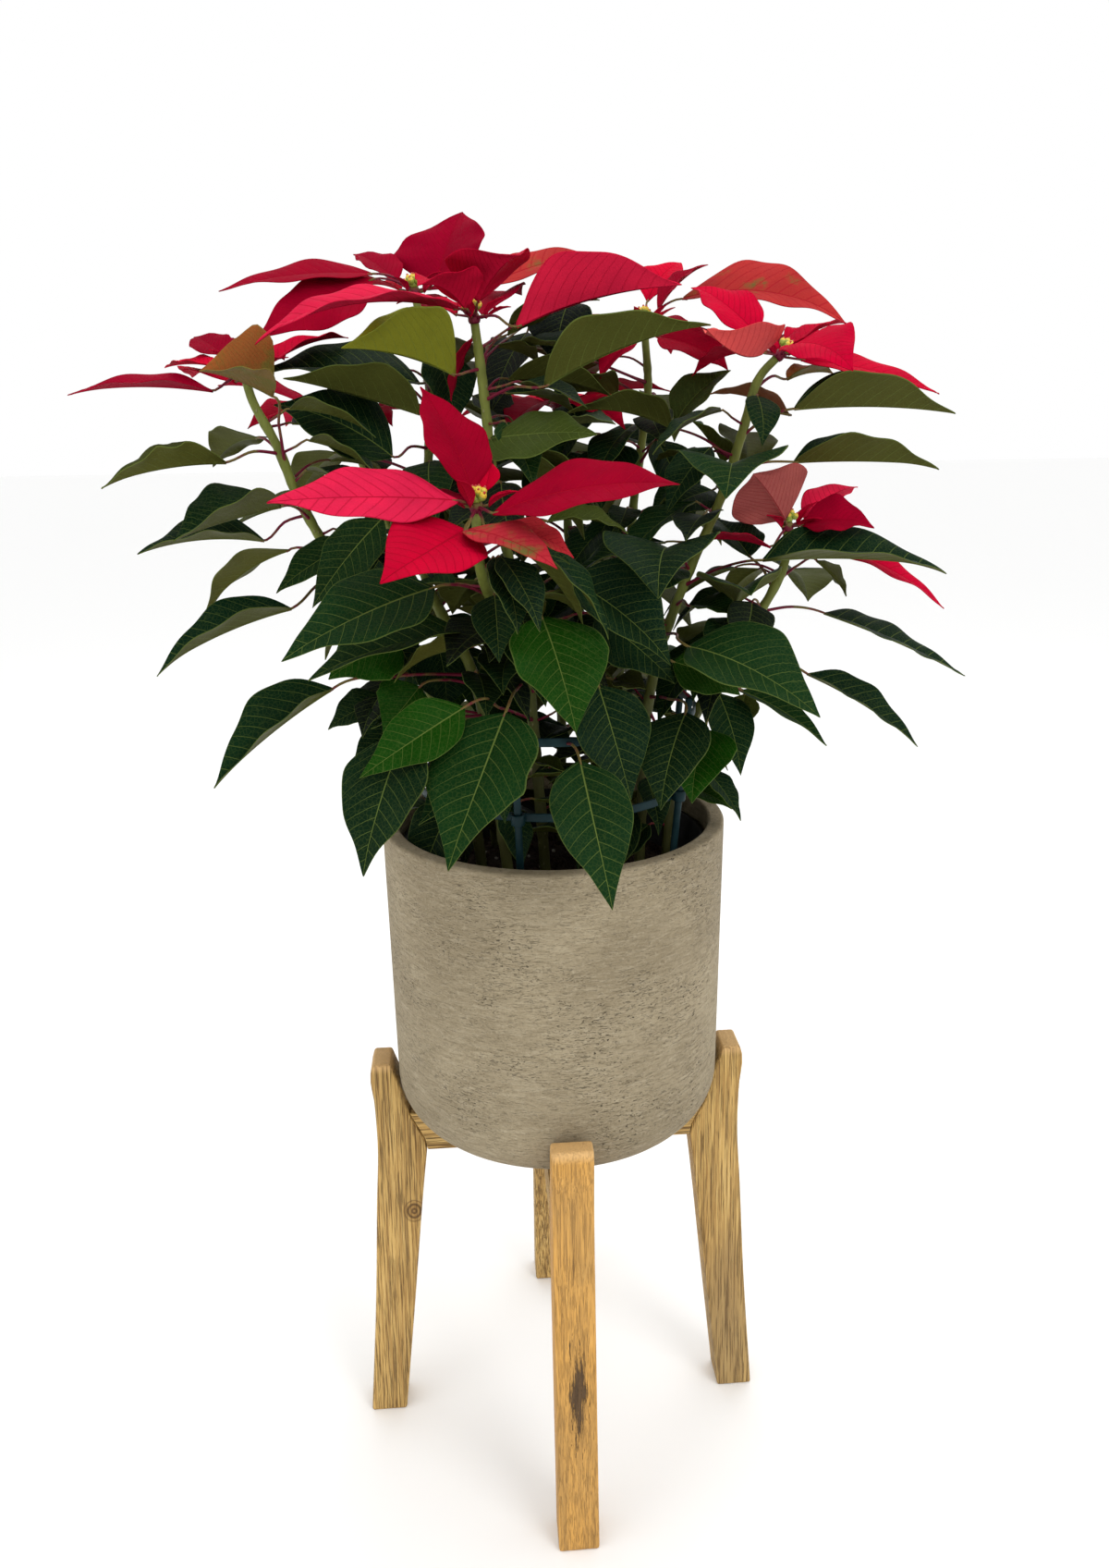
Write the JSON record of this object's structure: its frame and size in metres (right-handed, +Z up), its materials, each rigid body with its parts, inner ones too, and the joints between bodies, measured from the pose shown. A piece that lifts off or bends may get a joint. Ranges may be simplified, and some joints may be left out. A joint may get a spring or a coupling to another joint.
{
  "type": "potted poinsettia",
  "caption": "Leafy poinsettia with red bracts in a round cement-look planter that rests in a wooden stand with splayed legs.",
  "frame": {"origin": "on the floor under the planter's axis, at the middle of the plant's spread", "axes": "+Z up; the stand's legs lie on the X and Y axes; -Y is the front, where the pictured side faces"},
  "size_m": [0.7498, 0.5201, 1.1148],
  "materials": {
    "cement": "matte, finely pitted",
    "oak": "brushed, satin",
    "black_plastic": "matte",
    "peat": "rough",
    "support_plastic": "satin",
    "foliage": "satin",
    "bract": "satin",
    "cyathium": "satin"
  },
  "bodies": {
    "root": {"planter": "cement", "nursery_pot": "black_plastic", "soil": "peat", "leg_front": "oak", "leg_right": "oak", "leg_rear": "oak", "leg_left": "oak", "bar_left_right": "oak", "bar_front_rear": "oak", "stake_1": "support_plastic", "stake_2": "support_plastic", "stake_3": "support_plastic", "stake_4": "support_plastic", "hoop_lower": "support_plastic", "hoop_upper": "support_plastic", "stem_centre": "foliage", "stem_right": "foliage", "stem_back_right": "foliage", "stem_left": "foliage", "stem_back_left": "foliage", "stem_low_right": "foliage", "stem_rear_left": "foliage", "stem_rear": "foliage", "bloom_centre": "bract", "bloom_front": "bract", "bloom_right": "bract", "bloom_back_right": "bract", "bloom_left": "bract", "bloom_back_left": "bract", "bloom_low_right": "bract", "bloom_rear_left": "bract", "bloom_rear": "bract", "cyathia_centre": "cyathium", "cyathia_front": "cyathium", "cyathia_right": "cyathium", "cyathia_back_right": "cyathium", "cyathia_left": "cyathium", "cyathia_back_left": "cyathium", "cyathia_low_right": "cyathium", "cyathia_rear_left": "cyathium", "cyathia_rear": "cyathium"}
  },
  "joints": []
}
